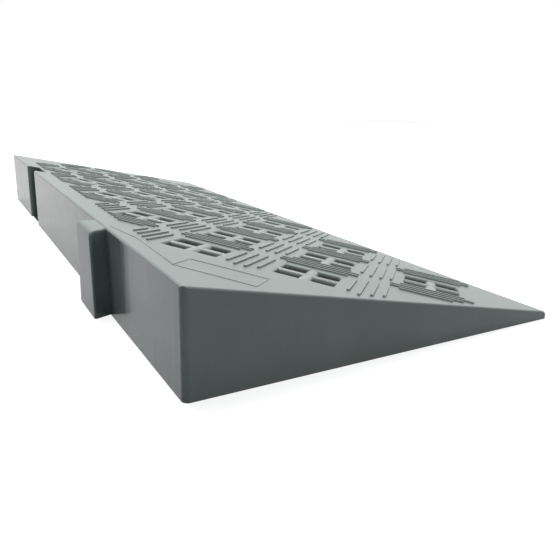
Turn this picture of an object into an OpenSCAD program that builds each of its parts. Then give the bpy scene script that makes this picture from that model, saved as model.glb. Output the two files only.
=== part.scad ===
// Floor ramp module: one moulded wedge with a gripping, drained deck, a skirt
// around it, a lattice of webs under it and a tab and slot on its tall side
// that key it to the next module.
// +X runs towards the end with the tab, +Y runs down the slope to the nose,
// and the ramp rests on z = 0.

/* [Wedge] */
// Length of the ramp, along the edge it is laid against
ramp_length = 500; // [360:1:700]
// Depth from the tall rear face to the nose
ramp_depth = 206; // [170:1:280]
// Height of the rear face
rear_height = 48; // [38:0.5:70]
// Height of the nose edge above the floor
nose_height = 3.8; // [3:0.1:6]

/* [Walls] */
// Thickness of the deck, square to its surface
deck_thickness = 4; // [3:0.1:5]
// Thickness of the rear and end walls and of the slot's walls
wall_thickness = 3; // [2.6:0.1:4.5]
// Depth of the solid toe behind the nose edge
toe_depth = 15; // [12:0.5:19]

/* [Edges] */
// Radius of the two upright corners of the rear face
corner_radius = 3; // [1.5:0.1:6]
// Radius of the two corners of the nose, seen from above
nose_corner_radius = 0.8; // [0.4:0.1:3]
// Radius along the top of the rear face
rear_edge_radius = 1.3; // [0.8:0.1:3]
// Radius along the top of the two ends
end_edge_radius = 1; // [0.5:0.1:3]
// Radius along the top of the nose
nose_edge_radius = 2; // [0.5:0.1:2.4]

/* [Lattice] */
// Step between windows along one row
lattice_step = 82.5; // [70:0.5:100]
// First window's centre from the end with the tab
first_window_x = 79.5; // [60:0.5:95]
// First row's distance down the slope from the rear edge
first_row = 41; // [37:0.5:50]

/* [Windows] */
// Side of one square window, set on its corner, below its rounded edge
window_side = 27; // [20:0.5:29]
// Radius of the rounded edge round a window, at the deck's surface
window_edge_radius = 1.6; // [0.5:0.1:2.8]
// Least distance from a window's corner to the end of the ramp
window_edge = 14; // [11:0.5:18]
// Thickness of the collar round a window, under the deck
collar_thickness = 2; // [1.5:0.1:3]
// Depth of the collar and of the bars, from the deck's surface
collar_depth = 11; // [8:0.5:14]
// Width of the bar that is flat in its middle and level with the deck
wide_bar = 7; // [6.2:0.1:9]
// Radius along both sides of the wide bar's top
wide_bar_radius = 2.9; // [0.5:0.1:3]
// Width of the round-topped bar that crosses it
narrow_bar = 5; // [3:0.1:6]
// Depth of the narrow bar's top below the deck
narrow_bar_drop = 0.2; // [0.1:0.1:2]

/* [Grip ribs] */
// Width of a rib
rib_width = 1.4; // [1.2:0.1:2.4]
// Height of a rib's top above the deck
rib_height = 0.9; // [0.7:0.05:1.2]
// Radius along both sides of a rib's top
rib_radius = 0.4; // [0.2:0.05:0.55]
// Distance between neighbouring ribs
rib_spacing = 5.25; // [4.5:0.05:6.5]
// Length of the two middle ribs of a set of four
middle_rib = 42; // [30:0.5:48]
// Length of the two outer ribs of a set of four
outer_rib = 32.5; // [24:0.5:40]
// Plain margin beside the ends of the ramp
end_margin = 5; // [4:0.5:10]
// Plain margin down the slope from the rear edge
rear_margin = 14.5; // [12:0.5:20]
// Plain margin up the slope from the nose
nose_margin = 4.5; // [4:0.5:10]
// Diagonal reach of the plain corners beside the rear face
plain_rear_corner = 62; // [50:1:70]
// Diagonal reach of the plain corners beside the nose
plain_nose_corner = 42; // [30:1:50]

/* [Webs] */
// Thickness of the webs under the deck
web_thickness = 2.4; // [1.8:0.1:3.2]

/* [Connector] */
// Width of the tab at its outer face, on the floor
tab_width = 34.6; // [28:0.2:44]
// How far the tab stands out of the rear face
tab_reach = 9.4; // [7:0.1:12]
// How much narrower each side of the tab is at the rear face
tab_flare = 3.4; // [0:0.1:4]
// Lean of the tab's sides towards its middle, in degrees
tab_draft = 2.4; // [0:0.1:3]
// Height of the tab
tab_height = 47.2; // [34:0.1:68]
// Radius of the tab's outer upright edges
tab_corner_radius = 2; // [1:0.1:3]
// Radius along the tab's outer top edge
tab_top_radius = 3; // [0.5:0.1:4]
// Tab's centre from its end of the ramp
tab_inset = 120; // [70:1:150]
// Slot's centre from the other end
slot_inset = 127; // [70:1:150]
// Clearance of the slot on each side of a tab
slot_side_gap = 1.2; // [0.5:0.1:3]
// Clearance of the slot in front of a tab
slot_end_gap = 1; // [0.5:0.1:3]
// Radius of the slot's upright mouth edges
slot_mouth_radius = 2.8; // [1:0.1:3]

/* [Hidden] */
$fn = 24;
plastic = [0.72, 0.745, 0.735];

half_length = ramp_length / 2;
slope_angle = atan((rear_height - nose_height) / ramp_depth);
slope_length = norm([ramp_depth, rear_height - nose_height]);
// The tab reaches behind the rear face, and the whole stays centred on y = 0
rear_y = (tab_reach - ramp_depth) / 2;
toe_y = ramp_depth - toe_depth;
// Larger than the ramp in any direction, for cutting planes
reach = 2 * (ramp_length + ramp_depth);

tab_x = half_length - tab_inset;
slot_x = -half_length + slot_inset;
slot_width = tab_width + 2 * slot_side_gap;
slot_depth = tab_reach + slot_end_gap;
pocket_width = slot_width + 2 * wall_thickness;
pocket_depth = slot_depth + wall_thickness;

half_step = lattice_step / 2;
quarter_step = lattice_step / 4;
window_half_diagonal = window_side / sqrt(2);
lattice_columns = ceil(ramp_length / half_step) + 2;
lattice_rows = ceil(slope_length / half_step) + 2;
// How far a rib reaches into the deck, so that the two are one solid
rib_root = 1;
// A clipped rib that is shorter than this is left out
least_rib = 6;
// A web that is shorter than this, between walls, is left out
least_web = 20;

// Ends of the lattice lines across the space under the deck, as the sum and
// the difference of a place along the ramp and a place down the slope
web_x = half_length - wall_thickness;
web_row_min = wall_thickness / cos(slope_angle);
web_row_max = toe_y / cos(slope_angle);
diagonal_first = half_length - first_window_x - first_row;
counter_first = half_length - first_window_x + first_row;
// Lattice lines that leave a web of a useful length, from the end with the
// tab: one family, and the other from the rear wall and from the end wall
diagonal_lines = [for (line = lattice_lines(diagonal_first + half_step, -1))
    if (diagonal_run(line) > least_web) line];
counter_lines = [for (line = lattice_lines(counter_first + half_step, -1))
    if (counter_run(line) > least_web && line < half_length) line];
end_lines = [for (line = lattice_lines(counter_first + half_step, 1))
    if (counter_run(line) > least_web && line >= half_length) line];

// Offsets of the lattice lines that share the first one's phase, rising for a
// direction of 1 and falling for -1
function lattice_lines(first, direction) =
    let (most = lattice_columns + lattice_rows)
    [for (k = [-most:most]) first + direction * k * lattice_step];

// Run, along the slope, of the line x - row = offset inside the walls
function diagonal_run(offset) =
    min(web_row_max, web_x - offset) - max(web_row_min, -web_x - offset);

// Run, along the slope, of the line x + row = offset inside the walls
function counter_run(offset) =
    min(web_row_max, offset + web_x) - max(web_row_min, offset - web_x);

// Height of the top surface at a distance from the rear face
function top_z(y) = rear_height - y * tan(slope_angle);

// True where a point of the deck lies in one of the four plain corners
function in_plain_corner(x, row) =
    let (from_end = half_length - abs(x), from_nose = slope_length - row)
    from_end + row < plain_rear_corner * sqrt(2) || from_end + from_nose < plain_nose_corner * sqrt(2);

// Part of a line, as [start, end] along it, between two limits on one axis
function span(centre, direction, low, high) =
    let (a = (low - centre) / direction, b = (high - centre) / direction)
    [min(a, b), max(a, b)];

// Part of a rib, as [start, end] from its middle, that the margins leave
function rib_span(x, row, direction, half) =
    let (along = span(x, direction[0], end_margin - half_length, half_length - end_margin),
         down = span(row, direction[1], rear_margin, slope_length - nose_margin))
    [max(-half, along[0], down[0]), min(half, along[1], down[1])];

// Places of the windows, as [x, row]
window_places = [for (m = [-lattice_columns:lattice_columns], n = [0:lattice_rows])
    let (x = half_length - first_window_x + m * half_step, row = first_row + n * half_step)
    if ((m + n) % 2 == 0
        && abs(x) + window_half_diagonal + window_edge < half_length
        && row + window_half_diagonal < web_row_max
        && !in_plain_corner(x, row)) [x, row]];

// Places the children on the deck: x along the ramp, y down the slope, z out
module on_deck() {
    translate([0, rear_y, rear_height])
        rotate([-slope_angle, 0, 0])
            children();
}

// Everything more than a depth below the deck's surface
module below_deck(depth) {
    on_deck()
        translate([-reach / 2, -reach / 2, -depth - reach])
            cube(reach);
}

// Everything between two distances from the rear face
module between_y(low, high) {
    translate([-reach / 2, rear_y + low, -reach / 2])
        cube([reach, high - low, reach]);
}

// Everything between two places along the ramp
module between_x(low, high) {
    translate([low, -reach / 2, -reach / 2])
        cube([high - low, reach, reach]);
}

// Everything above the floor
module above_floor() {
    translate([-reach / 2, -reach / 2, 0])
        cube(reach);
}

// Corner that a rounding of the given radius takes off a square edge
module rounding(radius) {
    difference() {
        translate([-radius, -radius])
            square(2 * radius);
        translate([radius, radius])
            circle(radius);
        translate([radius, -radius])
            square(2 * radius);
        translate([-radius, radius])
            square(2 * radius);
    }
}

// Outline seen from above, with round corners and the slot's notch
module plan() {
    difference() {
        translate([-half_length, 0])
            square([ramp_length, ramp_depth]);
        for (side = [0, 1])
            mirror([side, 0]) {
                translate([-half_length, 0])
                    rounding(corner_radius);
                translate([-half_length, ramp_depth])
                    mirror([0, 1])
                        rounding(nose_corner_radius);
            }
        translate([slot_x - slot_width / 2, -slot_depth])
            square([slot_width, 2 * slot_depth]);
        for (side = [0, 1])
            translate([slot_x, 0])
                mirror([side, 0])
                    translate([slot_width / 2, 0])
                        rounding(slot_mouth_radius);
    }
}

// Section from the rear face to the nose, with its rounded top edges
module section() {
    rear_round_z = top_z(rear_edge_radius) - rear_edge_radius / cos(slope_angle);
    nose_round_y = ramp_depth - nose_edge_radius;
    nose_round_z = top_z(nose_round_y) - nose_edge_radius / cos(slope_angle);
    lean = [sin(slope_angle), cos(slope_angle)];
    polygon([
        [0, 0],
        [ramp_depth, 0],
        [ramp_depth, nose_round_z],
        [nose_round_y, nose_round_z] + nose_edge_radius * lean,
        [rear_edge_radius, rear_round_z] + rear_edge_radius * lean,
        [0, rear_round_z]
    ]);
    translate([rear_edge_radius, rear_round_z])
        circle(rear_edge_radius);
    translate([nose_round_y, nose_round_z])
        circle(nose_edge_radius);
}

// Section across the ramp, square to the slope, with its two rounded edges
module cross_section() {
    difference() {
        translate([-half_length, -reach])
            square([ramp_length, reach]);
        for (side = [0, 1])
            mirror([side, 0])
                translate([-half_length, 0])
                    mirror([0, 1])
                        rounding(end_edge_radius);
    }
}

// Outside of the whole wedge, which the skin's pieces are cut from
module wedge() {
    intersection() {
        translate([0, rear_y, 0])
            linear_extrude(rear_height)
                plan();
        translate([-half_length, rear_y, 0])
            rotate([90, 0, 90])
                linear_extrude(ramp_length)
                    section();
        on_deck()
            translate([0, -ramp_depth, 0])
                rotate([-90, 0, 0])
                    mirror([0, 1, 0])
                        linear_extrude(3 * ramp_depth)
                            cross_section();
    }
}

// One rib, from start to end of its own line, through a point of the deck
module rib(x, row, angle, ends) {
    translate([x, row, 0])
        rotate([0, 0, angle])
            translate([ends[0], 0, 0])
                rotate([90, 0, 90])
                    linear_extrude(ends[1] - ends[0])
                        rib_section();
}

// Section of a rib, with steep sides and a round-edged top
module rib_section() {
    translate([-rib_width / 2, -rib_root])
        square([rib_width, rib_root + rib_height - rib_radius]);
    translate([rib_radius - rib_width / 2, 0])
        square([rib_width - 2 * rib_radius, rib_height]);
    for (side = [-1, 1])
        translate([side * (rib_width / 2 - rib_radius), rib_height - rib_radius])
            circle(rib_radius, $fn = 16);
}

// A set of four parallel ribs about a point, the middle two longer
module rib_set(x, row, angle) {
    direction = [cos(angle), sin(angle)];
    for (k = [-1.5:1:1.5]) {
        rib_x = x - k * rib_spacing * direction[1];
        rib_row = row + k * rib_spacing * direction[0];
        half = (abs(k) < 1 ? middle_rib : outer_rib) / 2;
        ends = rib_span(rib_x, rib_row, direction, half);
        if (ends[1] - ends[0] > least_rib)
            rib(rib_x, rib_row, angle, ends);
    }
}

// Every rib of the deck: sets of both directions, woven between the windows
module ribs() {
    for (m = [-lattice_columns:lattice_columns], n = [-1:lattice_rows])
        if ((m + n) % 2 == 0) {
            x = half_length - first_window_x + m * half_step + quarter_step;
            row = first_row + n * half_step + quarter_step;
            if (!in_plain_corner(x, row))
                rib_set(x, row, 135);
            if (!in_plain_corner(x - half_step, row))
                rib_set(x - half_step, row, 45);
        }
}

// Deck with its ribs, before it is cut into rear rail, plate and nose
module ribbed_wedge() {
    wedge();
    on_deck()
        ribs();
}

// Width across a window at each depth, wider at its rounded mouth
module opening_section(depth) {
    translate([-window_side / 2, -depth])
        square([window_side, depth + 1]);
    for (side = [0, 1])
        mirror([side, 0])
            translate([window_side / 2, 0])
                difference() {
                    translate([-1, -window_edge_radius])
                        square([window_edge_radius + 1, window_edge_radius + 1]);
                    translate([window_edge_radius, -window_edge_radius])
                        circle(window_edge_radius);
                }
}

// Opening of one window: square, with a rounded mouth along all four sides
module window_opening(depth) {
    length = window_side + 4 * window_edge_radius;
    intersection() {
        rotate([0, 0, 45])
            translate([-length / 2, 0, 0])
                rotate([90, 0, 90])
                    linear_extrude(length)
                        opening_section(depth);
        rotate([0, 0, 135])
            translate([-length / 2, 0, 0])
                rotate([90, 0, 90])
                    linear_extrude(length)
                        opening_section(depth);
    }
}

// Openings of all the windows
module window_openings(depth) {
    for (place = window_places)
        on_deck()
            translate([place[0], place[1], 0])
                window_opening(depth);
}

// Square prism round each window's centre, down from the deck's surface
module window_prisms(side, depth) {
    for (place = window_places)
        on_deck()
            translate([place[0], place[1], -depth / 2])
                rotate([0, 0, 45])
                    cube([side, side, depth], center = true);
}

// Collars under the deck, one round each window, kept off the floor
module collars() {
    intersection() {
        difference() {
            window_prisms(window_side + 2 * collar_thickness, 2 * collar_depth);
            window_prisms(window_side, 4 * collar_depth);
        }
        below_deck(deck_thickness);
        on_deck()
            translate([-reach / 2, 0, -collar_depth])
                cube(reach);
        above_floor();
    }
}

// Deck from the slot's depth to the toe, with windows, collars and ribs
module deck_plate() {
    color(plastic) {
        difference() {
            intersection() {
                ribbed_wedge();
                between_y(slot_depth, toe_y);
            }
            below_deck(deck_thickness);
            window_openings(2 * collar_depth);
        }
        collars();
    }
}

// Two bars that cross in one window, up to its rounded mouth
module window_cross() {
    length = window_side + 2 * window_edge_radius;
    rotate([0, 0, 135])
        translate([-length / 2, 0, 0])
            rotate([90, 0, 90])
                linear_extrude(length)
                    difference() {
                        translate([-wide_bar / 2, -collar_depth])
                            square([wide_bar, collar_depth]);
                        for (side = [0, 1])
                            mirror([side, 0])
                                translate([-wide_bar / 2, 0])
                                    mirror([0, 1])
                                        rounding(wide_bar_radius);
                    }
    rotate([0, 0, 45])
        translate([-length / 2, 0, 0])
            rotate([90, 0, 90])
                linear_extrude(length) {
                    translate([-narrow_bar / 2, -collar_depth])
                        square([narrow_bar, collar_depth - narrow_bar_drop - narrow_bar / 2]);
                    translate([0, -narrow_bar_drop - narrow_bar / 2])
                        circle(narrow_bar / 2);
                }
}

// Crossed bars that split every window into four slots
module window_bars() {
    color(plastic)
        intersection() {
            for (place = window_places)
                on_deck()
                    translate([place[0], place[1], 0])
                        intersection() {
                            window_cross();
                            window_opening(2 * collar_depth);
                        }
            above_floor();
        }
}

// Solid toe along the nose, with the lowest ends of the ribs
module nose_bar() {
    color(plastic)
        intersection() {
            ribbed_wedge();
            between_y(toe_y, ramp_depth);
        }
}

// Top of the wedge beside the rear face, as deep as the slot
module rear_rail(from_x, to_x) {
    color(plastic)
        difference() {
            intersection() {
                wedge();
                between_y(0, slot_depth);
                between_x(from_x, to_x);
            }
            below_deck(deck_thickness);
        }
}

// Upright wall cut from the wedge's outside, under the deck
module skirt(from_x, to_x, from_y, to_y) {
    color(plastic)
        intersection() {
            wedge();
            below_deck(deck_thickness);
            between_y(from_y, to_y);
            between_x(from_x, to_x);
        }
}

// End wall on one side of the ramp: 1 with the tab, -1 with the slot
module end_wall(side) {
    inner = half_length - wall_thickness;
    if (side > 0)
        skirt(inner, half_length, 0, toe_y);
    else
        skirt(-half_length, -inner, 0, toe_y);
}

// Wall of the slot's pocket, square in plan, up to the deck
module pocket_wall(from_x, to_x, from_y, to_y) {
    color(plastic)
        intersection() {
            translate([from_x, rear_y + from_y, 0])
                cube([to_x - from_x, to_y - from_y, rear_height]);
            below_deck(deck_thickness);
        }
}

// Tab: flared outwards, open towards the floor and the rear wall
module connector_tab() {
    // Inside, the tab is as wide as its narrowest place less its walls
    room = tab_width - 2 * (tab_flare + tab_height * tan(tab_draft) + wall_thickness);
    color(plastic)
        translate([tab_x, rear_y, 0])
            difference() {
                intersection() {
                    for (side = [0, 1])
                        mirror([side, 0, 0])
                            rotate([0, -tab_draft, 0])
                                translate([0, 0, -tab_height])
                                    linear_extrude(3 * tab_height)
                                        tab_half_plan(tab_width / 2 * cos(tab_draft));
                    translate([-tab_width, 0, 0])
                        rotate([90, 0, 90])
                            linear_extrude(2 * tab_width)
                                tab_section();
                }
                translate([-room / 2, wall_thickness - tab_reach, -1])
                    cube([room, tab_reach, tab_height - wall_thickness + 1]);
            }
}

// Half of the tab seen from above, flared, with its outer edge rounded
module tab_half_plan(half) {
    flare_angle = atan(tab_flare / tab_reach);
    out = [cos(flare_angle), sin(flare_angle)];
    centre = [
        half - tab_corner_radius * (1 + sin(flare_angle)) / cos(flare_angle),
        tab_corner_radius - tab_reach
    ];
    polygon([
        [-1, -tab_reach],
        [centre[0], -tab_reach],
        centre + tab_corner_radius * out,
        [half - tab_flare, 0],
        [-1, 0]
    ]);
    translate(centre)
        circle(tab_corner_radius);
}

// Section of the tab from its outer face to the rear face
module tab_section() {
    difference() {
        translate([-tab_reach, 0])
            square([tab_reach, tab_height]);
        translate([-tab_reach, tab_height])
            mirror([0, 1])
                rounding(tab_top_radius);
    }
}

// Upright plate under a lattice line, as long as the ramp
module web_plate(offset, angle) {
    // Seen from above, the lattice is shortened down the slope
    squash = cos(slope_angle);
    plan_angle = atan2(sin(angle) * squash, cos(angle));
    translate([offset, rear_y, 0])
        rotate([0, 0, plan_angle])
            translate([-reach / 2, -web_thickness / 2, 0])
                cube([reach, web_thickness, rear_height]);
}

// Space between the walls and under the deck that the webs fill
module web_space() {
    difference() {
        intersection() {
            between_x(-web_x, web_x);
            between_y(wall_thickness, toe_y);
            below_deck(deck_thickness);
            above_floor();
        }
        translate([slot_x - pocket_width / 2, rear_y, -1])
            cube([pocket_width, pocket_depth, rear_height + 1]);
    }
}

// Web that runs unbroken along one diagonal of the lattice
module diagonal_web(i) {
    color(plastic)
        intersection() {
            web_space();
            web_plate(diagonal_lines[i - 1], 45);
        }
}

// Web across the others, broken where it meets them
module counter_web(offset) {
    color(plastic)
        difference() {
            intersection() {
                web_space();
                web_plate(offset, 135);
            }
            for (line = diagonal_lines)
                web_plate(line, 45);
        }
}

deck_plate();
window_bars();
nose_bar();
rear_rail(slot_x + slot_width / 2, half_length);  // rear_rail_tab_side
rear_rail(-half_length, slot_x - slot_width / 2);  // rear_rail_slot_side
skirt(slot_x + slot_width / 2, web_x, 0, wall_thickness);  // rear_wall_tab_side
skirt(-web_x, slot_x - slot_width / 2, 0, wall_thickness);  // rear_wall_slot_side
end_wall(1);  // end_wall_tab_side
end_wall(-1);  // end_wall_slot_side
connector_tab();
pocket_wall(slot_x - slot_width / 2, slot_x + slot_width / 2, slot_depth, pocket_depth);  // slot_back
pocket_wall(slot_x + slot_width / 2, slot_x + pocket_width / 2, wall_thickness, pocket_depth);  // slot_cheek_inner
pocket_wall(slot_x - pocket_width / 2, slot_x - slot_width / 2, wall_thickness, pocket_depth);  // slot_cheek_outer
for (i = [1:len(diagonal_lines)])
    diagonal_web(i);
for (i = [1:len(counter_lines)])
    counter_web(counter_lines[i - 1]);
for (i = [1:len(end_lines)])
    counter_web(end_lines[i - 1]);
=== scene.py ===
"""Looks of a moulded floor ramp with a drained, ribbed deck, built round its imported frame.

Everything is in metres, in the frame's axes: +X along the ramp towards the end with the tab, +Y down the
slope to the nose, +Z up from the floor. The deck's own axes are the same +X, the row down the slope from the
rear edge, and the height out of the deck's surface.
"""

import logging
import math
from collections.abc import Callable, Iterator
from dataclasses import dataclass, field
from enum import Enum

import bmesh
import bpy
from bpy.types import Material, Node, NodeSocket, NodeTree, Object
from mathutils import Matrix, Vector

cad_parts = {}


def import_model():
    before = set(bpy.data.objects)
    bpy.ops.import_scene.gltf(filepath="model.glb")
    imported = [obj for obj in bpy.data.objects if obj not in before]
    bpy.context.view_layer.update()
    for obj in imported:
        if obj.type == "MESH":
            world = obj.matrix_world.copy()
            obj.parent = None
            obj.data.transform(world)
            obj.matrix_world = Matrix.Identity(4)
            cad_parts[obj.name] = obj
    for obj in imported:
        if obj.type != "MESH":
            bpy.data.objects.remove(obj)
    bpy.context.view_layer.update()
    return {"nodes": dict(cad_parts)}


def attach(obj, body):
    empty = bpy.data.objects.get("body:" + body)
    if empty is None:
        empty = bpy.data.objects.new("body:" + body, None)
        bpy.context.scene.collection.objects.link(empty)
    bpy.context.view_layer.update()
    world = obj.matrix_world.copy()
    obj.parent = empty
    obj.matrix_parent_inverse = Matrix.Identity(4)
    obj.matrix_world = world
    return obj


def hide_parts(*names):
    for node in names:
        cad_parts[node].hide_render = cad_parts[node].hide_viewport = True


LOG = logging.getLogger("floor_ramp")
MM = 0.001
# What lies this near a plane counts as on it, and what lies this far off it counts as away.
NEAR = 0.01 * MM
AWAY = 1 * MM
# A direction counts as along an axis from the first share on, and as across it up to the second.
ALONG = 0.9
ACROSS = 0.1
# Edges sharper than this stay crisp.
CRISP_ANGLE = math.radians(40)
# The windows and their cells stand on a corner of their square.
CORNERWISE = math.pi / 4
# The Mix node's sockets share their names, so they go by their numbers.
FLOAT_A, FLOAT_B, FLOAT_MIXED = 2, 3, 0
COLOUR_A, COLOUR_B, COLOUR_MIXED = 6, 7, 2
WHITE = (1.0, 1.0, 1.0, 1.0)


def linear(hex_colour: str) -> tuple[float, float, float, float]:
    """Turns six hexadecimal digits of sRGB colour into linear red, green and blue, with an alpha of 1."""
    channels = [int(hex_colour[i:i + 2], 16) / 255 for i in (0, 2, 4)]
    return (*[c / 12.92 if c <= 0.04045 else ((c + 0.055) / 1.055) ** 2.4 for c in channels], 1.0)


def add_node(tree: NodeTree, kind: str, settings: dict | None = None, inputs: dict | None = None) -> Node:
    """Adds one node to a node tree.

    Args:
        tree: The tree that gets the node.
        kind: The node's type name, without the ShaderNode that all share.
        settings: Properties to set on the node.
        inputs: Values or output sockets, by the name or number of the input that takes them.

    Returns:
        The new node.
    """
    node = tree.nodes.new("ShaderNode" + kind)
    for name, value in (settings or {}).items():
        setattr(node, name, value)
    for name, value in (inputs or {}).items():
        if isinstance(value, NodeSocket):
            tree.links.new(value, node.inputs[name])
        else:
            node.inputs[name].default_value = value
    return node


def empty_material(name: str) -> Material:
    """Makes a material whose node tree is still empty.

    Args:
        name: The material's name.

    Returns:
        The new material.
    """
    made = bpy.data.materials.new(name)
    made.use_nodes = True
    made.node_tree.nodes.clear()
    return made


def turn(angle: float, axis: str = "Z") -> Matrix:
    """Gives the matrix of a turn about an axis."""
    return Matrix.Rotation(angle, 4, axis)


@dataclass(frozen=True)
class RampSizes:
    """The ramp's sizes as built, and its windows' softer mouths, which only the looks have."""

    length: float = 500 * MM
    depth: float = 206 * MM
    rear_height: float = 48 * MM
    nose_height: float = 3.8 * MM
    deck_thickness: float = 4 * MM
    toe_depth: float = 15 * MM
    end_edge_radius: float = 1 * MM
    nose_edge_radius: float = 2 * MM
    lattice_step: float = 82.5 * MM
    lattice_columns: tuple[int, int] = (-16, 8)
    lattice_rows: int = 6
    first_window: float = 79.5 * MM
    first_row: float = 41 * MM
    window_rows: int = 4
    window_side: float = 27 * MM
    window_edge: float = 14 * MM
    mouth_side: float = 31 * MM
    mouth_throat: float = 28.6 * MM
    mouth_drop: float = 1.9 * MM
    collar_thickness: float = 2 * MM
    collar_depth: float = 11 * MM
    shallow_collar: float = 8 * MM
    rib_width: float = 1.4 * MM
    rib_height: float = 0.9 * MM
    rib_spacing: float = 5.25 * MM
    middle_rib: float = 42 * MM
    outer_rib: float = 32.5 * MM
    end_margin: float = 5 * MM
    rear_margin: float = 14.5 * MM
    nose_margin: float = 4.5 * MM
    plain_rear_corner: float = 62 * MM
    plain_nose_corner: float = 42 * MM
    tab_width: float = 34.6 * MM
    tab_reach: float = 9.4 * MM
    tab_flare: float = 3.4 * MM
    tab_draft: float = 2.0 * MM
    tab_height: float = 47.2 * MM
    tab_top_radius: float = 3 * MM
    tab_inset: float = 120 * MM
    tab_wall: float = 3 * MM
    slot_depth: float = 10.4 * MM

    @property
    def half_length(self) -> float:
        """Distance from the middle of the ramp to an end."""
        return self.length / 2

    @property
    def rear_y(self) -> float:
        """Place of the rear face."""
        return (self.tab_reach - self.depth) / 2

    @property
    def nose_y(self) -> float:
        """Place of the nose."""
        return self.rear_y + self.depth

    @property
    def slope(self) -> float:
        """Angle of the deck."""
        return math.atan((self.rear_height - self.nose_height) / self.depth)

    @property
    def slope_length(self) -> float:
        """Length of the deck down its slope."""
        return math.hypot(self.depth, self.rear_height - self.nose_height)

    @property
    def deck_place(self) -> Matrix:
        """Takes the deck's own axes to the ramp's."""
        return Matrix.Translation((0, self.rear_y, self.rear_height)) @ turn(-self.slope, "X")

    def on_deck(self, x: float, row: float, angle: float = 0.0) -> Matrix:
        """Gives the place of what lies on the deck, turned by an angle in its plane."""
        return self.deck_place @ Matrix.Translation((x, row, 0)) @ turn(angle)

    def top_z(self, y: float) -> float:
        """Gives the deck's height at a place along Y."""
        return self.rear_height - (y - self.rear_y) * math.tan(self.slope)

    def in_plain_corner(self, x: float, row: float) -> bool:
        """Tells whether a point of the deck lies in a corner without windows and ribs.

        Args:
            x: Place along the ramp.
            row: Distance down the slope.

        Returns:
            True in one of the four plain corners.
        """
        from_end = self.half_length - abs(x)
        from_nose = self.slope_length - row
        return (from_end + row < self.plain_rear_corner * math.sqrt(2)
                or from_end + from_nose < self.plain_nose_corner * math.sqrt(2))

    def in_last_row(self, row: float) -> bool:
        """Tells whether a row is the one nearest the nose, where the collars are shallow."""
        return row > self.first_row + (self.window_rows - 1) * self.lattice_step / 2 - AWAY

    def lattice(self, first_line: int = 0) -> Iterator[tuple[float, float]]:
        """Walks over the lattice's points, those past the ramp's edges among them.

        Args:
            first_line: How many half steps from the first row the walk starts.

        Yields:
            Each point as its place along the ramp and its row.
        """
        half_step = self.lattice_step / 2
        for column in range(*self.lattice_columns):
            for line in range(first_line, self.lattice_rows):
                if (column + line) % 2 == 0:
                    yield (self.half_length - self.first_window + column * half_step,
                           self.first_row + line * half_step)

    def has_window(self, x: float, row: float) -> bool:
        """Tells whether a lattice point carries a window.

        Args:
            x: Place along the ramp.
            row: Distance down the slope.

        Returns:
            True where the window fits between the ends, the rear edge and the toe.
        """
        half_diagonal = self.window_side / math.sqrt(2)
        toe_row = (self.depth - self.toe_depth) / math.cos(self.slope)
        return (abs(x) + half_diagonal + self.window_edge < self.half_length
                and row >= self.first_row - AWAY and row + half_diagonal < toe_row
                and not self.in_plain_corner(x, row))


SIZES = RampSizes()


class Element(Enum):
    """Kind of mesh element that is picked in edit mode."""

    VERTEX = "VERT"
    EDGE = "EDGE"
    FACE = "FACE"


def apply_place() -> None:
    """Moves the selected objects' place, turn and scale into their meshes."""
    bpy.ops.object.transform_apply(location=True, rotation=True, scale=True)


def select_only(pieces: list[Object]) -> None:
    """Selects pieces and nothing else, with the first as the active one.

    Args:
        pieces: What is selected.
    """
    bpy.ops.object.select_all(action="DESELECT")
    for piece in pieces:
        piece.select_set(True)
    bpy.context.view_layer.objects.active = pieces[0]


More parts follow.
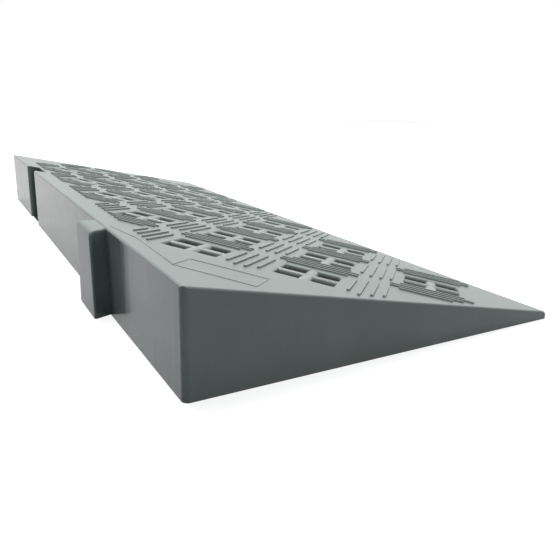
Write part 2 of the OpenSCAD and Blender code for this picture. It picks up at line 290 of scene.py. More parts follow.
class Workpiece:
    """One mesh that is added as a primitive and worked on in edit mode."""

    def __init__(self, name: str, add: Callable, **where: float | tuple) -> None:
        """Adds the primitive and opens it for work, with all of it selected.

        Args:
            name: Name of the piece.
            add: Operator that adds the primitive.
            **where: The primitive's size and place.
        """
        bpy.ops.object.select_all(action="DESELECT")
        add(**where)
        self.piece = bpy.context.object
        self.piece.name = name
        apply_place()
        bpy.ops.object.mode_set(mode="EDIT")
        bpy.ops.mesh.select_all(action="SELECT")

    def pick(self, element: Element, test: Callable[[Vector, Vector], bool]) -> None:
        """Selects the elements whose middle and normal pass a test, and nothing else.

        Args:
            element: Kind of element.
            test: Takes an element's middle and normal. An edge's normal is its direction.
        """
        bpy.ops.mesh.select_mode(type=element.value)
        bpy.ops.mesh.select_all(action="DESELECT")
        mesh = bmesh.from_edit_mesh(self.piece.data)
        if element is Element.VERTEX:
            for vertex in mesh.verts:
                vertex.select_set(test(vertex.co, vertex.normal))
        elif element is Element.EDGE:
            for edge in mesh.edges:
                start, end = (v.co for v in edge.verts)
                edge.select_set(test((start + end) / 2, (end - start).normalized()))
        else:
            for face in mesh.faces:
                face.select_set(test(face.calc_center_median(), face.normal))
        mesh.select_flush_mode()
        bmesh.update_edit_mesh(self.piece.data)

    def extrude(self, rise: float = 0) -> None:
        """Extrudes the selection upwards, or in place."""
        bpy.ops.mesh.extrude_region_move(TRANSFORM_OT_translate={"value": (0, 0, rise)})

    def grow(self, x: float = 1, y: float = 1) -> None:
        """Scales the selection sideways about its middle."""
        bpy.ops.transform.resize(value=(x, y, 1))

    def bevel(self, radius: float, steps: int, element: Element = Element.EDGE) -> None:
        """Rounds the selected edges, or the selected corners of a face."""
        affect = "VERTICES" if element is Element.VERTEX else "EDGES"
        bpy.ops.mesh.bevel(offset=radius, segments=steps, affect=affect)

    def trim(self, place: tuple[float, float, float], outwards: tuple[float, float, float]) -> None:
        """Cuts off what lies outwards of a plane through a place, and closes the cut."""
        bpy.ops.mesh.select_all(action="SELECT")
        bpy.ops.mesh.bisect(plane_co=place, plane_no=outwards, use_fill=True, clear_outer=True)

    def open_up(self) -> Object:
        """Deletes the selected faces, keeps their edges and ends the work.

        Returns:
            The piece, open where the faces were.
        """
        bpy.ops.mesh.delete(type="ONLY_FACE")
        bpy.ops.object.mode_set(mode="OBJECT")
        return self.piece

    def dress(self, finish: Material,
              test: Callable[[Vector, Vector], bool] = lambda middle, normal: True) -> None:
        """Gives a finish to the faces that pass a test, or to all.

        Args:
            finish: Their material.
            test: Takes a face's middle and normal.
        """
        self.pick(Element.FACE, test)
        self.piece.data.materials.append(finish)
        self.piece.active_material_index = len(self.piece.data.materials) - 1
        bpy.ops.object.material_slot_assign()

    def finish(self) -> Object:
        """Turns all faces outwards, shades the piece smooth between its crisp edges and ends the work.

        Returns:
            The piece.
        """
        bpy.ops.mesh.select_all(action="SELECT")
        bpy.ops.mesh.normals_make_consistent(inside=False)
        bpy.ops.object.mode_set(mode="OBJECT")
        bpy.ops.object.shade_smooth_by_angle(angle=CRISP_ANGLE)
        level = self.piece.modifiers.new("level", "WEIGHTED_NORMAL")
        level.keep_sharp = True
        bpy.ops.object.modifier_apply(modifier=level.name)
        return self.piece

    @classmethod
    def reopen(cls, piece: Object) -> "Workpiece":
        """Opens a piece that is already there for more work.

        Args:
            piece: The piece, which is the active one.

        Returns:
            The piece at work.
        """
        work = cls.__new__(cls)
        work.piece = piece
        bpy.ops.object.mode_set(mode="EDIT")
        return work


def settle(piece: Object, place: Matrix) -> Object:
    """Puts the selected piece at a place, which goes into its mesh.

    Args:
        piece: The piece, selected alone.
        place: Where it goes.

    Returns:
        The piece.
    """
    piece.matrix_world = place
    apply_place()
    return piece


def copy_to(piece: Object, place: Matrix) -> Object:
    """Copies a piece, with its own mesh, to a place.

    Args:
        piece: What is copied.
        place: Where the copy goes.

    Returns:
        The copy, with the place in its mesh.
    """
    select_only([piece])
    bpy.ops.object.duplicate(linked=False)
    return settle(bpy.context.object, place)


def join(pieces: list[Object], name: str) -> Object:
    """Joins pieces into one.

    Args:
        pieces: What is joined.
        name: Name of the result.

    Returns:
        The joined piece.
    """
    select_only(pieces)
    bpy.ops.object.join()
    pieces[0].name = name
    return pieces[0]


def discard(pieces: list[Object]) -> None:
    """Removes patterns whose copies are in place."""
    for piece in pieces:
        bpy.data.objects.remove(piece, do_unlink=True)


@dataclass(frozen=True)
class MouldedPlastic:
    """Grey polypropylene as injection moulded, even in colour, with faint clouds where the melt flowed.

    Faces that look up come from a sandblasted half of the mould and are satin: their fine grain spreads what
    they mirror. Where the mould's sides are polished, upright faces mirror what stands near them, drawn out
    by fine upright streaks. Below the deck's surface, in the windows, painted shade darkens the plastic. A
    painted shade depth of 0 paints none. The real grain of about 0.1 mm is too fine to show, so it is drawn
    coarser.
    """

    name: str
    colour: str = "97A19D"
    cloud_colour: str = "9FA9A5"
    cloud_size: float = 38 * MM
    cloud_detail: float = 3.0
    cloud_span: tuple[float, float] = (0.4, 0.65)
    refraction: float = 1.49
    satin_roughness: float = 0.34
    gloss_span: tuple[float, float] = (0.3, 0.7)
    gloss_change: tuple[float, float] = (-0.03, 0.04)
    satin_level: float = 0.5
    upward_span: tuple[float, float] = (0.35, 0.8)
    polished_sides: bool = False
    polished_roughness: float = 0.17
    polished_level: float = 0.42
    streak_width: float = 5 * MM
    streak_length: float = 90 * MM
    streak_depth: float = 0.14 * MM
    grain_size: float = 0.9 * MM
    grain_depth: float = 0.012 * MM
    grain_strength: float = 0.4
    fine_detail: float = 2.0
    # Painted shade: in the windows the plastic darkens to this colour, from the unshaded depth to the full
    # depth below the deck's surface; a depth of 0 paints none.
    recess_shade_colour: str = "2A2F2F"
    unshaded_depth: float = 0.5 * MM
    recess_shade_depth: float = 0.0

    def material(self) -> Material:
        """Makes the finish.

        Returns:
            The new material.
        """
        made = empty_material(self.name)
        tree = made.node_tree
        place = add_node(tree, "TexCoord")
        clouds = add_node(tree, "TexNoise", inputs={
            "Vector": place.outputs["Object"], "Scale": 1 / self.cloud_size, "Detail": self.cloud_detail})
        blend = add_node(tree, "MapRange", inputs={
            "Value": clouds.outputs["Fac"],
            "From Min": self.cloud_span[0], "From Max": self.cloud_span[1]})
        colour = add_node(tree, "Mix", {"data_type": "RGBA"}, {
            "Factor": blend.outputs["Result"],
            COLOUR_A: linear(self.colour), COLOUR_B: linear(self.cloud_colour)}).outputs[COLOUR_MIXED]
        # Painted shade in the windows below the deck's surface.
        if self.recess_shade_depth:
            colour = self.paint_recess_shade(tree, place, colour)
        rough = add_node(tree, "MapRange", inputs={
            "Value": clouds.outputs["Fac"],
            "From Min": self.gloss_span[0], "From Max": self.gloss_span[1],
            "To Min": self.satin_roughness + self.gloss_change[0],
            "To Max": self.satin_roughness + self.gloss_change[1]})
        grain = add_node(tree, "TexNoise", inputs={
            "Vector": place.outputs["Object"], "Scale": 1 / self.grain_size, "Detail": self.fine_detail})
        bump = add_node(tree, "Bump", inputs={
            "Height": grain.outputs["Fac"], "Strength": self.grain_strength, "Distance": self.grain_depth})
        shader = add_node(tree, "BsdfPrincipled", inputs={
            "Base Color": colour, "Roughness": rough.outputs["Result"], "IOR": self.refraction,
            "Normal": bump.outputs["Normal"]})
        if self.polished_sides:
            self.polish(tree, place, rough, bump, shader)
        add_node(tree, "OutputMaterial", inputs={"Surface": shader.outputs["BSDF"]})
        return made

    def paint_recess_shade(self, tree: NodeTree, place: Node, unshaded_colour: NodeSocket) -> NodeSocket:
        """Paints shade on the plastic below the deck's surface, darker the deeper it lies in the windows.

        Args:
            tree: The finish's node tree.
            place: Node with the coordinates.
            unshaded_colour: Colour of the plastic without the painted shade.

        Returns:
            The colour with the painted shade.
        """
        surface = SIZES.top_z(0)
        spot = add_node(tree, "SeparateXYZ", inputs={0: place.outputs["Object"]}).outputs
        rise = add_node(tree, "Math", {"operation": "MULTIPLY_ADD"}, {
            0: spot["Y"], 1: math.tan(SIZES.slope), 2: spot["Z"]})
        unshaded_share = add_node(tree, "MapRange", inputs={
            "Value": rise.outputs[0],
            "From Min": surface - self.recess_shade_depth, "From Max": surface - self.unshaded_depth})
        return add_node(tree, "Mix", {"data_type": "RGBA"}, {
            "Factor": unshaded_share.outputs["Result"],
            COLOUR_A: linear(self.recess_shade_colour), COLOUR_B: unshaded_colour}).outputs[COLOUR_MIXED]

    def polish(self, tree: NodeTree, place: Node, rough: Node, bump: Node, shader: Node) -> None:
        """Polishes the upright faces and draws the streaks on them.

        Args:
            tree: The finish's node tree.
            place: Node with the coordinates and the normal.
            rough: Node with the satin roughness.
            bump: Node with the grain.
            shader: The plastic's shader.
        """
        facing = add_node(tree, "SeparateXYZ", inputs={0: place.outputs["Normal"]})
        satin = add_node(tree, "MapRange", inputs={
            "Value": facing.outputs["Z"],
            "From Min": self.upward_span[0], "From Max": self.upward_span[1]}).outputs["Result"]
        upright = add_node(tree, "Math", {"operation": "SUBTRACT"}, {0: 1.0, 1: satin})
        either = add_node(tree, "Mix", inputs={
            "Factor": satin, FLOAT_A: self.polished_roughness, FLOAT_B: rough.outputs["Result"]})
        level = add_node(tree, "MapRange", inputs={
            "Value": satin, "To Min": self.polished_level, "To Max": self.satin_level})
        drawn = add_node(tree, "Mapping", inputs={
            "Vector": place.outputs["Object"],
            "Scale": (1 / self.streak_width, 1 / self.streak_width, 1 / self.streak_length)})
        streaks = add_node(tree, "TexNoise", inputs={
            "Vector": drawn.outputs["Vector"], "Scale": 1.0, "Detail": self.fine_detail})
        streaked = add_node(tree, "Bump", inputs={
            "Height": streaks.outputs["Fac"], "Strength": upright.outputs[0],
            "Distance": self.streak_depth, "Normal": bump.outputs["Normal"]})
        tree.links.new(either.outputs[FLOAT_MIXED], shader.inputs["Roughness"])
        tree.links.new(level.outputs["Result"], shader.inputs["Specular IOR Level"])
        tree.links.new(streaked.outputs["Normal"], shader.inputs["Normal"])


@dataclass
class Deck:
    """Sloping deck with its windows, each with a rounded mouth and a collar below.

    An opening's corners are rounded by a share of its side.
    """

    sizes: RampSizes = SIZES
    lean_depth: float = 7 * MM
    mouth_steps: int = 6
    corner_share: float = 0.06
    corner_steps: int = 4
    end_edge_steps: int = 5
    weld: float = 0.002 * MM

    @property
    def cell_side(self) -> float:
        """Side of the square cell that each window has to itself, set on its corner."""
        return self.sizes.lattice_step / math.sqrt(2)

    def cell_face(self, name: str, z: float, opening: float) -> Workpiece:
        """Lays the upper or lower face of a cell round a square opening with round corners.

        Args:
            name: Name of the face.
            z: Its height.
            opening: Side of the opening.

        Returns:
            The face at work, with the opening picked.
        """
        work = Workpiece(name, bpy.ops.mesh.primitive_plane_add, size=self.cell_side, location=(0, 0, z))
        bpy.ops.mesh.inset(thickness=(self.cell_side - opening) / 2)
        work.bevel(self.corner_share * opening, self.corner_steps, Element.VERTEX)
        work.pick(Element.FACE, lambda middle, normal: middle.xy.length < NEAR)
        return work

    def window_cell(self, collar_depth: float) -> Object:
        """Models one cell of the deck with its window.

        Args:
            collar_depth: How deep the window's walls go.

        Returns:
            The cell, open at its outer sides.
        """
        side, width, throat = self.sizes.window_side, self.sizes.mouth_side, self.sizes.mouth_throat
        collar = side + 2 * self.sizes.collar_thickness
        turns = [math.pi / 2 * step / self.mouth_steps for step in range(1, self.mouth_steps + 1)]
        profile = [(throat + (width - throat) * (1 - math.sin(angle)),
                    self.sizes.mouth_drop * (1 - math.cos(angle))) for angle in turns]
        profile.append((side, self.lean_depth))
        drop = 0.0
        work = self.cell_face("window_cell", 0, width)
        for next_width, next_drop in profile:
            work.extrude(drop - next_drop)
            work.grow(next_width / width, next_width / width)
            width, drop = next_width, next_drop
        work.extrude(drop - collar_depth)
        work.extrude()
        work.grow(collar / side, collar / side)
        work.extrude(collar_depth - self.sizes.deck_thickness)
        upper = work.open_up()
        under = self.cell_face("cell_underside", -self.sizes.deck_thickness, collar).open_up()
        return join([upper, under], "window_cell")

    def plain_cell(self) -> Object:
        """Models one cell of the deck without a window.

        Returns:
            The cell, open at its outer sides.
        """
        work = Workpiece("plain_cell", bpy.ops.mesh.primitive_cube_add, size=1, scale=(
            self.cell_side, self.cell_side, self.sizes.deck_thickness),
            location=(0, 0, -self.sizes.deck_thickness / 2))
        work.pick(Element.FACE, lambda middle, normal: abs(normal.z) < ACROSS)
        return work.open_up()

    def lay_cells(self) -> Object:
        """Lays the cells side by side and closes the slab round its rim.

        Returns:
            The slab, level and larger than the ramp.
        """
        sizes = self.sizes
        deep, shallow = self.window_cell(sizes.collar_depth), self.window_cell(sizes.shallow_collar)
        plain = self.plain_cell()
        cells = []
        for x, row in sizes.lattice(first_line=-2):
            pattern = plain
            if sizes.has_window(x, row):
                pattern = shallow if sizes.in_last_row(row) else deep
            cells.append(copy_to(pattern, Matrix.Translation((x, row, 0)) @ turn(CORNERWISE)))
        discard([deep, shallow, plain])
        slab = join(cells, "deck_skin")
        bpy.ops.object.mode_set(mode="EDIT")
        bpy.ops.mesh.select_all(action="SELECT")
        bpy.ops.mesh.remove_doubles(threshold=self.weld)
        bpy.ops.mesh.select_mode(type="EDGE")
        bpy.ops.mesh.select_all(action="DESELECT")
        bpy.ops.mesh.select_non_manifold(
            extend=False, use_wire=False, use_multi_face=False, use_non_contiguous=False, use_verts=False)
        bpy.ops.mesh.bridge_edge_loops()
        bpy.ops.object.mode_set(mode="OBJECT")
        return slab

    def build(self, finish: Material, side_finish: Material) -> Object:
        """Sets the slab on its slope, trims it to the ramp and rounds its upper edges at the ends.

        Args:
            finish: The deck's material.
            side_finish: The material of its two ends.

        Returns:
            The finished deck.
        """
        sizes = self.sizes
        deck = settle(self.lay_cells(), sizes.deck_place)
        work = Workpiece.reopen(deck)
        for side in (-1, 1):
            work.trim((side * sizes.half_length, 0, 0), (side, 0, 0))
        work.trim((0, sizes.rear_y + sizes.slot_depth, 0), (0, -1, 0))
        work.trim((0, sizes.nose_y - sizes.toe_depth, 0), (0, 1, 0))
        bpy.ops.mesh.select_all(action="SELECT")
        bpy.ops.mesh.normals_make_consistent(inside=False)
        work.pick(Element.EDGE, lambda middle, along: abs(middle.x) > sizes.half_length - NEAR
                  and abs(along.x) < ACROSS and abs(middle.z - sizes.top_z(middle.y)) < NEAR)
        work.bevel(sizes.end_edge_radius, self.end_edge_steps)
        work.dress(finish)
        work.dress(side_finish, lambda middle, normal: abs(normal.x) > ALONG
                   and abs(middle.x) > sizes.half_length - NEAR)
        work.finish()
        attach(deck, "root")
        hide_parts("deck_plate")
        LOG.info("deck_skin: %d faces", len(deck.data.polygons))
        return deck


@dataclass
class WindowBars:
    """Two crossed bars in each window: one broad with round shoulders, one round-topped.

    A bar is rounded while it is lower than it will be, and then stretched upwards, so its top is an ellipse.
    """

    sizes: RampSizes = SIZES
    broad_width: float = 7 * MM
    broad_radius: float = 2.9 * MM
    broad_drop: float = 0.15 * MM
    broad_angle: float = 135
    round_width: float = 5 * MM
    round_radius: float = 2.4 * MM
    round_drop: float = 0.0
    round_angle: float = 45
    top_steps: int = 6
    top_stretch: float = 1.4
    shoulder_drop: float = 1 * MM

    def bar(self, width: float, radius: float, drop: float, depth: float) -> Object:
        """Models one bar along X, from mouth to mouth of its window.

        Args:
            width: Its width.
            radius: Radius along both sides of its top.
            drop: Depth of its top below the deck.
            depth: Depth of its underside below the deck.

        Returns:
            The bar.
        """
        sizes = self.sizes
        length = sizes.mouth_side
        inside = sizes.window_side + sizes.collar_thickness
        shoulder = (sizes.mouth_drop + self.shoulder_drop) / self.top_stretch
        top, bottom = -drop / self.top_stretch, -depth / self.top_stretch
        work = Workpiece("bar", bpy.ops.mesh.primitive_cube_add, size=1, scale=(
            length, width, top - bottom), location=(0, 0, (top + bottom) / 2))
        bpy.ops.mesh.bisect(plane_co=(0, 0, -shoulder), plane_no=(0, 0, 1))
        work.pick(Element.VERTEX, lambda place, normal: place.z < -shoulder - NEAR)
        work.grow(x=inside / length)
        work.pick(Element.EDGE, lambda middle, along: abs(along.x) > ALONG and middle.z > top - NEAR)
        work.bevel(radius, self.top_steps)
        bpy.ops.mesh.select_all(action="SELECT")
        bpy.ops.transform.resize(value=(1, 1, self.top_stretch), center_override=(0, 0, 0))
        return work.finish()

    def cross(self, depth: float) -> Object:
        """Sets the two bars across each other.

        Args:
            depth: Depth of their underside below the deck.

        Returns:
            The cross.
        """
        broad = self.bar(self.broad_width, self.broad_radius, self.broad_drop, depth)
        slim = self.bar(self.round_width, self.round_radius, self.round_drop, depth)
        turned = [copy_to(broad, turn(math.radians(self.broad_angle))),
                  copy_to(slim, turn(math.radians(self.round_angle)))]
        discard([broad, slim])
        return join(turned, "cross")

    def build(self, finish: Material) -> Object:
        """Sets a cross in every window.

        Args:
            finish: The bars' material.

        Returns:
            All the crosses as one piece.
        """
        sizes = self.sizes
        deep, shallow = self.cross(sizes.collar_depth), self.cross(sizes.shallow_collar)
        crosses = [copy_to(shallow if sizes.in_last_row(row) else deep, sizes.on_deck(x, row))
                   for x, row in sizes.lattice() if sizes.has_window(x, row)]
        discard([deep, shallow])
        bars = join(crosses, "window_crosses")
        bars.data.materials.append(finish)
        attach(bars, "root")
        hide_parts("window_bars")
        LOG.info("window_crosses: %d windows", len(crosses))
        return bars


@dataclass
class GripRibs:
    """Sets of four parallel ribs that cover the deck between the windows.

    The offsets are counted in spacings from a set's middle. Two sets lie a quarter step down the slope from
    each lattice point and a quarter step to either side of it, and each side has its own direction.
    """

    sizes: RampSizes = SIZES
    root: float = 0.3 * MM
    end_radius: float = 0.6 * MM
    top_radius: float = 0.15 * MM
    round_steps: int = 2
    draft: float = 0.05 * MM
    least_rib: float = 6 * MM
    offsets: tuple[float, ...] = (-1.5, -0.5, 0.5, 1.5)
    side_angles: tuple[tuple[int, float], ...] = ((1, 135), (-1, 45))
    patterns: dict[int, Object] = field(default_factory=dict)

    def rib(self, length: float) -> Object:
        """Gives the pattern of a rib of one length, modelled at its first use.

        Args:
            length: The rib's length.

        Returns:
            The pattern, along X and about its middle.
        """
        key = round(length / NEAR)
        if key not in self.patterns:
            sizes = self.sizes
            work = Workpiece("rib", bpy.ops.mesh.primitive_cube_add, size=1, scale=(
                length, sizes.rib_width, sizes.rib_height + self.root),
                location=(0, 0, (sizes.rib_height - self.root) / 2))
            work.pick(Element.EDGE, lambda middle, along: abs(along.z) > ALONG)
            work.bevel(self.end_radius, self.round_steps)
            work.pick(Element.FACE, lambda middle, normal: normal.z < -ALONG)
            work.grow(1 + 2 * self.draft / length, 1 + 2 * self.draft / sizes.rib_width)
            work.pick(Element.EDGE, lambda middle, along: middle.z > sizes.rib_height - NEAR)
            work.bevel(self.top_radius, self.round_steps)
            self.patterns[key] = work.finish()
        return self.patterns[key]

    def span(self, x: float, row: float, along: Vector, half: float) -> tuple[float, float]:
        """Gives the part of a rib that the deck's margins leave.

        Args:
            x: Place of the rib's middle along the ramp.
            row: Row of the rib's middle.
            along: Direction of the rib.
            half: Half of its full length.

        Returns:
            Where it starts and ends, from its middle.
        """
        sizes = self.sizes
        low, high = -half, half
        for middle, step, least, most in (
                (x, along.x, sizes.end_margin - sizes.half_length, sizes.half_length - sizes.end_margin),
                (row, along.y, sizes.rear_margin, sizes.slope_length - sizes.nose_margin)):
            ends = sorted(((least - middle) / step, (most - middle) / step))
            low, high = max(low, ends[0]), min(high, ends[1])
        return low, high

    def rib_set(self, x: float, row: float, degrees: float) -> list[Object]:
        """Copies the four ribs of one set into place.

        Args:
            x: Place of the set's middle along the ramp.
            row: Row of the set's middle.
            degrees: Direction of the ribs.

        Returns:
            The ribs that the margins leave.
        """
        sizes = self.sizes
        angle = math.radians(degrees)
        along = Vector((math.cos(angle), math.sin(angle)))
        ribs = []
        for offset in self.offsets:
            rib_x = x - offset * sizes.rib_spacing * along.y
            rib_row = row + offset * sizes.rib_spacing * along.x
            half = (sizes.middle_rib if abs(offset) < 1 else sizes.outer_rib) / 2
            low, high = self.span(rib_x, rib_row, along, half)
            if high - low < self.least_rib:
                continue
            middle = Vector((rib_x, rib_row)) + along * (low + high) / 2
            ribs.append(copy_to(self.rib(high - low), sizes.on_deck(middle.x, middle.y, angle)))
        return ribs

    def build(self, finish: Material) -> Object:
        """Lays every set of ribs.

        Args:
            finish: The ribs' material.

        Returns:
            All the ribs as one piece.
        """
        sizes = self.sizes
        quarter = sizes.lattice_step / 4
        ribs = []
        for x, row in sizes.lattice(first_line=-1):
            for side, degrees in self.side_angles:
                if not sizes.in_plain_corner(x + side * quarter, row + quarter):
                    ribs += self.rib_set(x + side * quarter, row + quarter, degrees)
        discard(list(self.patterns.values()))
        count = len(ribs)
        piece = join(ribs, "grip_ribs")
        piece.data.materials.append(finish)
        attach(piece, "root")
        LOG.info("grip_ribs: %d ribs", count)
        return piece


@dataclass
class MouldLines:
    """Faint raised lines that the joints between the mould's inserts left near one rear corner of the deck.

    The middle of the insert and the ends of the seams are given from the end with the tab and down the slope.
    """

    sizes: RampSizes = SIZES
    width: float = 0.35 * MM
    height: float = 0.2 * MM
    root: float = 0.2 * MM
    round_steps: int = 2
    insert_size: tuple[float, float] = (38 * MM, 20.6 * MM)
    insert_middle: tuple[float, float] = (27.8 * MM, 29.9 * MM)
    seams_in_mm: tuple[tuple[float, ...], ...] = ((33.5, 9.8, 85, 10.2), (85, 10.2, 111, 3.6))

    def insert_outline(self) -> Object:
        """Models the line round the insert, which is set cornerwise.

        Returns:
            The line, on the deck.
        """
        work = Workpiece("insert_outline", bpy.ops.mesh.primitive_plane_add, size=1,
                         location=(0, 0, -self.root))
        work.grow(*self.insert_size)
        bpy.ops.mesh.inset(thickness=self.width)
        bpy.ops.mesh.delete(type="FACE")
        bpy.ops.mesh.select_all(action="SELECT")
        work.extrude(self.root + self.height)
        from_end, row = self.insert_middle
        return settle(work.finish(), self.sizes.on_deck(self.sizes.half_length - from_end, row, CORNERWISE))

    def seam(self, start: Vector, end: Vector) -> Object:
        """Models one straight line.

        Args:
            start: One end, in the deck's own axes.
            end: The other end.

        Returns:
            The line, on the deck.
        """
        run = end - start
        work = Workpiece("seam", bpy.ops.mesh.primitive_cube_add, size=1, scale=(
            run.length + self.width, self.width, self.root + self.height),
            location=(0, 0, (self.height - self.root) / 2))
        work.pick(Element.EDGE, lambda middle, along: abs(along.z) > ALONG)
        work.bevel(self.width / 2, self.round_steps)
        middle = (start + end) / 2
        return settle(work.finish(), self.sizes.on_deck(middle.x, middle.y, math.atan2(run.y, run.x)))

    def build(self, finish: Material) -> Object:
        """Lays the lines.

        Args:
            finish: Their material.

        Returns:
            All the lines as one piece.
        """
        half = self.sizes.half_length
        lines = [self.insert_outline()]
        for from_end, row, to_end, to_row in self.seams_in_mm:
            lines.append(self.seam(Vector((half - from_end * MM, row * MM)),
                                   Vector((half - to_end * MM, to_row * MM))))
        piece = join(lines, "mould_lines")
        piece.data.materials.append(finish)
        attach(piece, "root")
        LOG.info("mould_lines: %d faces", len(piece.data.polygons))
        return piece


@dataclass
class Nose:
    """Solid toe along the thin edge, with a round upper edge."""

    sizes: RampSizes = SIZES
    front_steps: int = 6
    end_edge_steps: int = 4

    def build(self, finish: Material, side_finish: Material) -> Object:
        """Models the toe from a bar.

        Args:
            finish: The toe's material.
            side_finish: The material of its two ends.

        Returns:
            The toe.
        """
        sizes = self.sizes
        nose_y = sizes.nose_y
        toe_y = nose_y - sizes.toe_depth
        work = Workpiece("nose_strip", bpy.ops.mesh.primitive_cube_add, size=1, scale=(
            sizes.length, sizes.toe_depth, sizes.nose_height), location=(
            0, nose_y - sizes.toe_depth / 2, sizes.nose_height / 2))
        work.pick(Element.EDGE, lambda middle, along: abs(along.x) > ALONG and middle.z > AWAY
                  and middle.y < toe_y + AWAY)
        bpy.ops.transform.translate(value=(0, 0, sizes.top_z(toe_y) - sizes.nose_height))
        work.pick(Element.EDGE, lambda middle, along: abs(along.x) > ALONG and middle.z > AWAY
                  and middle.y > nose_y - NEAR)
        work.bevel(sizes.nose_edge_radius, self.front_steps)
        work.pick(Element.EDGE, lambda middle, along: abs(middle.x) > sizes.half_length - NEAR
                  and middle.z > NEAR and middle.y > toe_y + NEAR)
        work.bevel(sizes.end_edge_radius, self.end_edge_steps)
        work.dress(finish)
        work.dress(side_finish, lambda middle, normal: abs(normal.x) > ALONG)
        piece = work.finish()
        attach(piece, "root")
        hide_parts("nose_bar")
        LOG.info("nose_strip: %d faces", len(piece.data.polygons))
        return piece


@dataclass
class KeyTab:
    """Tab that stands out of the rear face: flared, drafted, hollow from below and round along its edges."""

    sizes: RampSizes = SIZES
    top_steps: int = 6
    side_radius: float = 1.6 * MM
    side_steps: int = 4

    def build(self, finish: Material) -> Object:
        """Models the tab from a block.

        Args:
            finish: The tab's material.

        Returns:
            The tab.
        """
        sizes = self.sizes
        tab_x = sizes.half_length - sizes.tab_inset
        outer_y = sizes.rear_y - sizes.tab_reach
        work = Workpiece("key_tab", bpy.ops.mesh.primitive_cube_add, size=1, scale=(
            sizes.tab_width, sizes.tab_reach, sizes.tab_height), location=(
            tab_x, sizes.rear_y - sizes.tab_reach / 2, sizes.tab_height / 2))
        work.pick(Element.FACE, lambda middle, normal: normal.y > ALONG)
        work.grow(x=1 - 2 * sizes.tab_flare / sizes.tab_width)
        for face_y, flare in ((sizes.rear_y, sizes.tab_flare), (outer_y, 0)):
            work.pick(Element.EDGE, lambda middle, along: abs(along.x) > ALONG and middle.z > AWAY
                      and abs(middle.y - face_y) < AWAY)
            work.grow(x=1 - 2 * sizes.tab_draft / (sizes.tab_width - 2 * flare))
        work.pick(Element.EDGE, lambda middle, along: abs(along.x) > ALONG and middle.z > AWAY
                  and middle.y < outer_y + AWAY)
        work.bevel(sizes.tab_top_radius, self.top_steps)
        work.pick(Element.EDGE, lambda middle, along: abs(along.x) < ALONG and middle.z > AWAY
                  and middle.y < sizes.rear_y - NEAR)
        work.bevel(self.side_radius, self.side_steps)
        work.pick(Element.FACE, lambda middle, normal: middle.z < NEAR)
        bpy.ops.mesh.inset(thickness=sizes.tab_wall)
        work.extrude(sizes.tab_height - 2 * sizes.tab_wall)
        piece = work.finish()
        piece.data.materials.append(finish)
        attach(piece, "root")
        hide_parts("connector_tab")
        LOG.info("key_tab: %d faces", len(piece.data.polygons))
        return piece


@dataclass(frozen=True)
class Softbox:
    """Square lamp with a soft, even face."""

    name: str
    place: tuple[float, float, float]
    aim: tuple[float, float, float]
    side: float
    watts: float

    def hang(self) -> None:
        """Hangs the lamp at its place, facing the point that it is aimed at."""
        light = bpy.data.lights.new(self.name, "AREA")
        light.shape = "SQUARE"
        light.size = self.side
        light.energy = self.watts
        lamp = bpy.data.objects.new(self.name, light)
        bpy.context.scene.collection.objects.link(lamp)
        lamp.location = self.place
        lamp.rotation_euler = (Vector(self.aim) - Vector(self.place)).to_track_quat("-Z", "Y").to_euler()


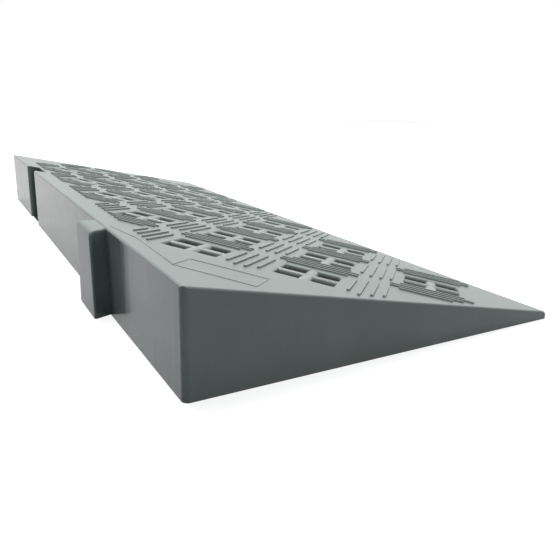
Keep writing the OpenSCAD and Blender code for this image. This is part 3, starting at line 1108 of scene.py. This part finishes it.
@dataclass
class Studio:
    """White set: a pale floor, a white surround, soft lamps and the camera at the photograph's place."""

    camera_place: Vector = field(default_factory=lambda: Vector((443.239, -172.074, 116.858)) * MM)
    heading: float = 153.744
    dip: float = 15.309
    roll: float = -0.133
    image_size: float = 560.0
    focal_pixels: float = 597.411
    centre_pixel: tuple[float, float] = (234.329, 253.045)
    sensor: float = 36.0
    nearest: float = 0.01
    surround_colour: str = "262D34"
    floor_size: float = 3.0
    floor_drop: float = 0.05 * MM
    floor_colour: str = "C0C0C0"
    floor_glow: float = 0.85
    mirrored_glow: float = 0.6
    shade_colour: str = "5C6468"
    sheet_inset: float = 1.5 * MM
    softboxes: tuple[Softbox, ...] = (
        Softbox("overhead_softbox", (-0.5, 0.1, 1.5), (0, 0, 0), 1.3, 25.3),
        Softbox("end_fill", (1.3, 0.5, 0.35), (0.25, 0, 0.02), 0.8, 2.2),
        Softbox("rear_fill", (-0.4, -1.3, 0.5), (0.1, -0.1, 0.02), 0.8, 1.7))

    def place_camera(self) -> None:
        """Creates the camera and makes it the scene's own."""
        lens = bpy.data.cameras.new("camera")
        lens.sensor_width = self.sensor
        lens.lens = self.focal_pixels / self.image_size * self.sensor
        half = self.image_size / 2
        lens.shift_x = (half - self.centre_pixel[0]) / self.image_size
        lens.shift_y = (self.centre_pixel[1] - half) / self.image_size
        lens.clip_start = self.nearest
        heading, dip, roll = (math.radians(a) for a in (self.heading, self.dip, self.roll))
        ahead = Vector((math.cos(dip) * math.cos(heading), math.cos(dip) * math.sin(heading),
                        -math.sin(dip)))
        right = ahead.cross(Vector((0, 0, 1))).normalized()
        down = ahead.cross(right)
        turned_right = math.cos(roll) * right + math.sin(roll) * down
        turned_down = math.cos(roll) * down - math.sin(roll) * right
        camera = bpy.data.objects.new("camera", lens)
        bpy.context.scene.collection.objects.link(camera)
        camera.matrix_world = Matrix.Translation(self.camera_place) @ Matrix(
            (turned_right, -turned_down, -ahead)).transposed().to_4x4()
        bpy.context.scene.camera = camera

    def seen(self, tree: NodeTree) -> NodeSocket:
        """Tells the rays that show a surface or its mirror image from those that only light it.

        Args:
            tree: The tree that gets the nodes.

        Returns:
            Socket that is 1 for the rays that show, and 0 for the others.
        """
        path = add_node(tree, "LightPath").outputs
        both = add_node(tree, "Math", {"operation": "MAXIMUM"}, {
            0: path["Is Camera Ray"], 1: path["Is Glossy Ray"]})
        return add_node(tree, "Math", {"operation": "MAXIMUM"}, {
            0: both.outputs[0], 1: path["Is Transmission Ray"]}).outputs[0]

    def surround(self) -> None:
        """Sets the world: white where it shows, a low even light elsewhere."""
        world = bpy.data.worlds.new("surround")
        world.use_nodes = True
        bpy.context.scene.world = world
        tree = world.node_tree
        tree.nodes.clear()
        colour = add_node(tree, "Mix", {"data_type": "RGBA"}, {
            "Factor": self.seen(tree), COLOUR_A: linear(self.surround_colour), COLOUR_B: WHITE})
        light = add_node(tree, "Background", inputs={"Color": colour.outputs[COLOUR_MIXED]})
        add_node(tree, "OutputWorld", inputs={"Surface": light.outputs[0]})

    def lay_floor(self) -> None:
        """Lays the pale floor, which shows white and keeps the ramp's soft shadow."""
        bpy.ops.object.select_all(action="DESELECT")
        bpy.ops.mesh.primitive_plane_add(size=self.floor_size, location=(0, 0, -self.floor_drop))
        floor = bpy.context.object
        floor.name = "studio_floor"
        made = empty_material("matt_white_floor_paint")
        tree = made.node_tree
        bounce = add_node(tree, "BsdfDiffuse", inputs={"Color": linear(self.shade_colour)})
        paint = add_node(tree, "BsdfDiffuse", inputs={"Color": linear(self.floor_colour)})
        level = add_node(tree, "MapRange", inputs={
            "Value": add_node(tree, "LightPath").outputs["Is Camera Ray"],
            "To Min": self.mirrored_glow, "To Max": self.floor_glow})
        glow = add_node(tree, "Emission", inputs={"Color": WHITE, "Strength": level.outputs["Result"]})
        white = add_node(tree, "AddShader", inputs={0: paint.outputs[0], 1: glow.outputs[0]})
        mixed = add_node(tree, "MixShader", inputs={
            0: self.seen(tree), 1: bounce.outputs[0], 2: white.outputs[0]})
        add_node(tree, "OutputMaterial", inputs={"Surface": mixed.outputs[0]})
        floor.data.materials.append(made)

    def shade_below(self) -> None:
        """Lays a dark sheet under the ramp as painted shadow, where the floor lies in the ramp's shadow and
        doesn't glow.
        """
        bpy.ops.object.select_all(action="DESELECT")
        bpy.ops.mesh.primitive_plane_add(size=1, location=(
            0, SIZES.rear_y + SIZES.depth / 2, -self.floor_drop / 2))
        sheet = bpy.context.object
        sheet.name = "shade_below"
        sheet.scale = (SIZES.length - 2 * self.sheet_inset, SIZES.depth - 2 * self.sheet_inset, 1)
        apply_place()
        made = empty_material("shaded_floor_paint")
        tree = made.node_tree
        paint = add_node(tree, "BsdfDiffuse", inputs={"Color": linear(self.shade_colour)})
        add_node(tree, "OutputMaterial", inputs={"Surface": paint.outputs[0]})
        sheet.data.materials.append(made)

    def build(self) -> None:
        """Sets up the whole studio."""
        bpy.context.scene.view_settings.view_transform = "Standard"
        self.place_camera()
        self.surround()
        self.lay_floor()
        self.shade_below()
        for softbox in self.softboxes:
            softbox.hang()
        LOG.info("studio: camera, surround, floor and lamps")


def main(frame: dict) -> None:
    """Builds the studio, the finishes and the pieces.
    """
    Studio().build()
    satin = MouldedPlastic("satin_moulded_grey_polypropylene").material()
    polished = MouldedPlastic("side_polished_moulded_grey_polypropylene", polished_sides=True).material()
    # Handling has worn the polish of the tab, so its sides mirror less and more softly.
    worn = MouldedPlastic("side_worn_moulded_grey_polypropylene", polished_sides=True,
                          polished_roughness=0.3, polished_level=0.36).material()
    # The deck is satin, with painted shade in its windows, darker below the deck's surface.
    recess_shaded = MouldedPlastic("recess_shaded_moulded_grey_polypropylene", recess_shade_depth=3 * MM).material()
    # The bars get a lighter copy of the plastic, painted light over their sides and tops, and feet and wheels
    # have rubbed their tops smoother. Below the deck they carry the same painted shade.
    lit_shaded_rubbed = MouldedPlastic("lit_shaded_rubbed_moulded_grey_polypropylene", colour="A2ACA8", cloud_colour="AAB4B0",
                            satin_roughness=0.27, recess_shade_depth=3 * MM).material()
    Deck().build(recess_shaded, polished)
    WindowBars().build(lit_shaded_rubbed)
    GripRibs().build(satin)
    MouldLines().build(satin)
    Nose().build(satin, polished)
    KeyTab().build(worn)
    for name, node in frame["nodes"].items():
        node.data.materials.clear()
        node.data.materials.append(satin if "web" in name else polished)
        LOG.info("dressed %s", name)


if __name__ == "__main__":
    logging.basicConfig(level=logging.INFO, format="%(name)s: %(message)s")
    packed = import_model()
    main(packed)
